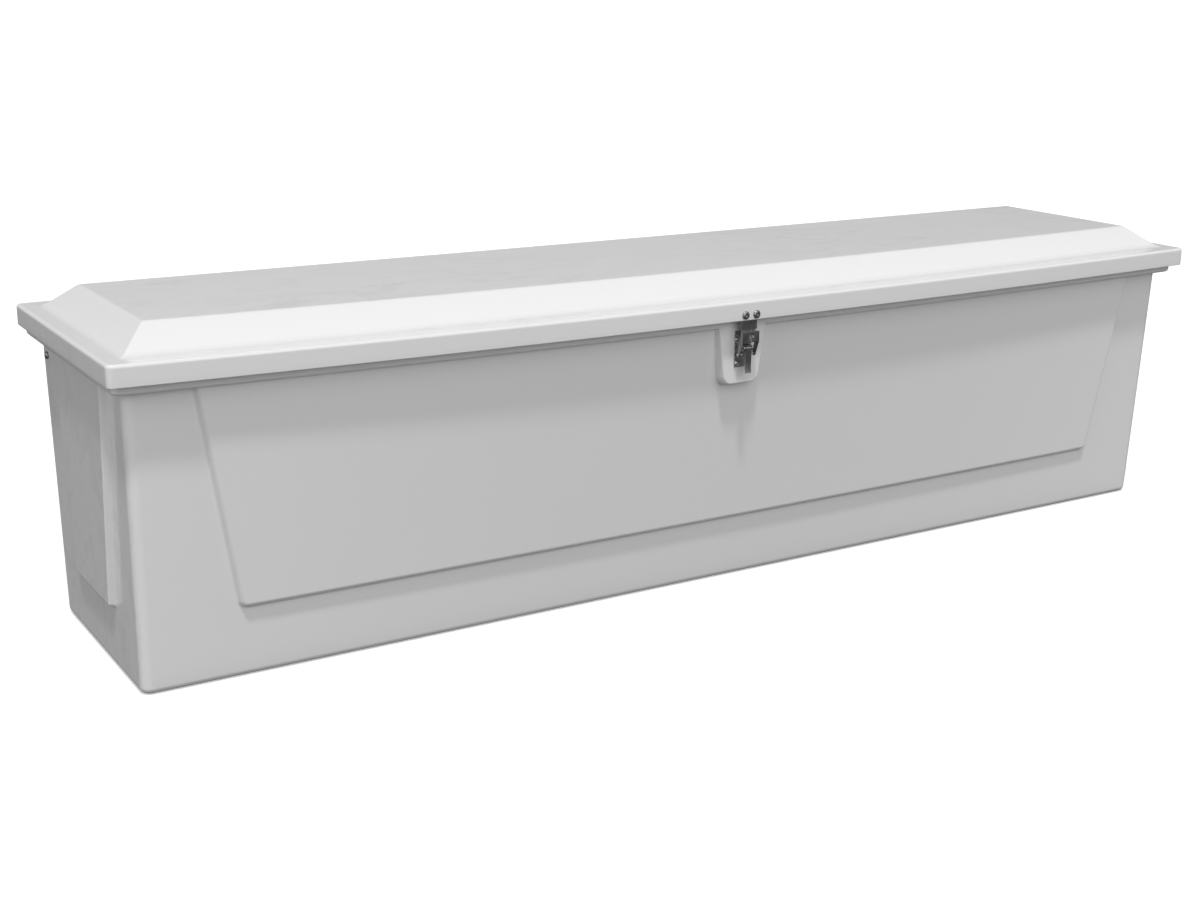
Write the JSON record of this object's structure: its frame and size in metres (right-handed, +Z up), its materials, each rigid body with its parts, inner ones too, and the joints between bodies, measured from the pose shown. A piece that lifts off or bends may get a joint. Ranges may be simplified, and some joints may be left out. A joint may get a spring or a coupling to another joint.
{
  "type": "dock box",
  "caption": "Long low fibreglass dock box with a crowned front, raised panels, a bevelled lid on a full-length hinge, gas struts and a draw latch.",
  "frame": {"origin": "on the ground under the middle of the bounding box", "axes": "+X along the box to the right seen from the latch side, -Y out of the latch side, +Z up"},
  "size_m": [2.438, 0.6251, 0.626],
  "materials": {
    "gelcoat": "high-gloss white gelcoat on fibreglass laminate",
    "seal_rubber": "matt black foam-bulb rubber",
    "rail_timber": "sealed plywood",
    "stringer_core": "laminated foam-and-glass stringer",
    "latch_steel": "satin stainless steel, weathered darker",
    "stainless": "satin stainless steel",
    "strut_black": "semi-gloss black paint",
    "strut_chrome": "polished chromed rod"
  },
  "bodies": {
    "tub": {"tub_shell": "gelcoat", "rim_seal": "seal_rubber", "back_rail": "rail_timber", "rail_bolt_left": "latch_steel", "rail_bolt_right": "latch_steel", "hinge_leaf_tub": "stainless", "hinge_pin": "stainless", "hinge_screw_tub_1": "stainless", "hinge_screw_tub_2": "stainless", "hinge_screw_tub_3": "stainless", "hinge_screw_tub_4": "stainless", "hinge_screw_tub_5": "stainless", "hinge_screw_tub_6": "stainless", "latch_base": "stainless", "latch_screw_1": "stainless", "latch_screw_2": "stainless", "latch_screw_3": "stainless", "latch_screw_4": "stainless", "latch_backing_plate": "stainless", "lever_pin": "stainless", "strut_bracket_tub_left": "stainless", "strut_screw_left_1": "stainless", "strut_screw_left_2": "stainless", "strut_bracket_tub_right": "stainless", "strut_screw_right_1": "stainless", "strut_screw_right_2": "stainless"},
    "lid": {"lid_shell": "gelcoat", "lid_stringer_1": "stringer_core", "lid_stringer_2": "stringer_core", "lid_stringer_3": "stringer_core", "hinge_leaf_lid": "stainless", "hinge_screw_lid_1": "stainless", "hinge_screw_lid_2": "stainless", "hinge_screw_lid_3": "stainless", "hinge_screw_lid_4": "stainless", "hinge_screw_lid_5": "stainless", "hinge_screw_lid_6": "stainless", "latch_keeper": "latch_steel", "keeper_screw_left": "latch_steel", "keeper_nut_left": "stainless", "keeper_screw_right": "latch_steel", "keeper_nut_right": "stainless", "strut_bracket_lid_left": "stainless", "strut_bracket_lid_right": "stainless"},
    "lever": {"latch_lever": "latch_steel", "bail_pin": "stainless"},
    "bail": {"latch_bail": "latch_steel"},
    "strut_tube_left": {"strut_tube_left": "strut_black"},
    "strut_rod_left": {"strut_rod_left": "strut_chrome"},
    "strut_tube_right": {"strut_tube_right": "strut_black"},
    "strut_rod_right": {"strut_rod_right": "strut_chrome"}
  },
  "joints": [
    {"name": "lid_hinge", "type": "hinge", "parent": "tub", "child": "lid", "pos_m": [0, 0.3085, 0.5446], "axis": [-1, 0, 0], "range_deg": [0, 80]},
    {"name": "latch_lever_pivot", "type": "hinge", "parent": "tub", "child": "lever", "pos_m": [-0.022, -0.2952, 0.49], "axis": [-1, 0, 0], "range_deg": [0, 105]},
    {"name": "latch_bail_pivot", "type": "hinge", "parent": "lever", "child": "bail", "pos_m": [-0.022, -0.292, 0.4781], "axis": [1, 0, 0], "range_deg": [0, 127]},
    {"name": "strut_swing_left", "type": "hinge", "parent": "tub", "child": "strut_tube_left", "pos_m": [-1.152, 0.0785, 0.3346], "axis": [-1, 0, 0], "range_deg": [0, 2]},
    {"name": "strut_slide_left", "type": "slide", "parent": "strut_tube_left", "child": "strut_rod_left", "axis": [0, 0.5547, 0.8321], "range_m": [0, 0.116]},
    {"name": "strut_swing_right", "type": "hinge", "parent": "tub", "child": "strut_tube_right", "pos_m": [1.152, 0.0785, 0.3346], "axis": [-1, 0, 0], "range_deg": [0, 2]},
    {"name": "strut_slide_right", "type": "slide", "parent": "strut_tube_right", "child": "strut_rod_right", "axis": [0, 0.5547, 0.8321], "range_m": [0, 0.116]}
  ],
  "couplings": [
    {"joint": "latch_bail_pivot", "follows": "latch_lever_pivot", "ratio": 1.2},
    {"joint": "strut_swing_left", "follows": "lid_hinge", "ratio": 0.02478},
    {"joint": "strut_slide_left", "follows": "lid_hinge", "m_per_rad": 0.082521},
    {"joint": "strut_swing_right", "follows": "lid_hinge", "ratio": 0.02478},
    {"joint": "strut_slide_right", "follows": "lid_hinge", "m_per_rad": 0.082521}
  ]
}
